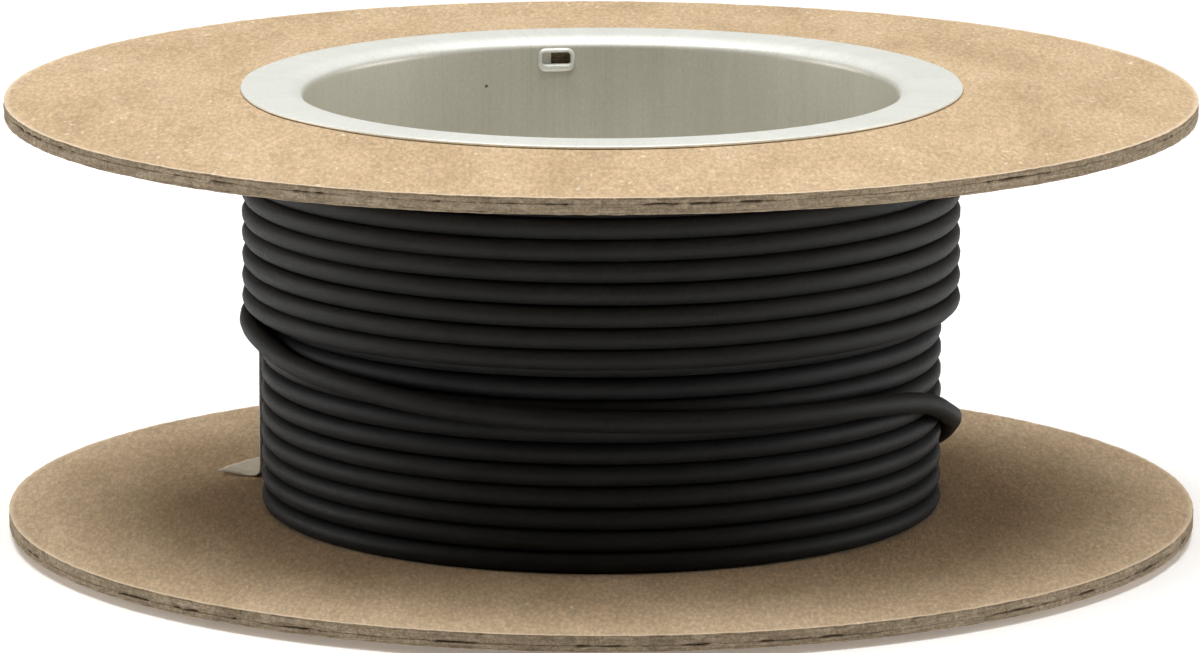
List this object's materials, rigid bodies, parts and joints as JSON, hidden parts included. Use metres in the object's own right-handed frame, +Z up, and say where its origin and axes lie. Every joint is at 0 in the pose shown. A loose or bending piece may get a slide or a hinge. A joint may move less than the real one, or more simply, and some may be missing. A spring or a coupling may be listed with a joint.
{
  "type": "wire spool",
  "caption": "Spool of black insulated wire on a hollow sheet-metal core with rolled lips, clinched to two round laminated chipboard flanges.",
  "frame": {"origin": "on the core's axis at the underside of the bottom lip, the lowest point", "axes": "+Z up along the core's axis, -Y toward the front, where the last turn of wire crosses the pack"},
  "size_m": [0.1016, 0.1016, 0.0384],
  "materials": {
    "core_metal": "matte, rolled sheet",
    "kraft_liner": "matte kraft paper face",
    "chip_ply": "grey-brown pressed paper fibre, cut edge",
    "wire_insulation": "satin black insulation",
    "copper": "bare copper strands",
    "paper_tape": "white paper tape"
  },
  "bodies": {
    "root": {"core_tube": "core_metal", "wire_coil": "wire_insulation", "wire_finish_turn": "wire_insulation", "finish_end_strands": "copper", "finish_tape": "paper_tape", "top_outer_liner": "kraft_liner", "top_outer_ply": "chip_ply", "top_inner_ply": "chip_ply", "top_inner_liner": "kraft_liner", "bottom_outer_liner": "kraft_liner", "bottom_outer_ply": "chip_ply", "bottom_inner_ply": "chip_ply", "bottom_inner_liner": "kraft_liner"}
  },
  "joints": []
}
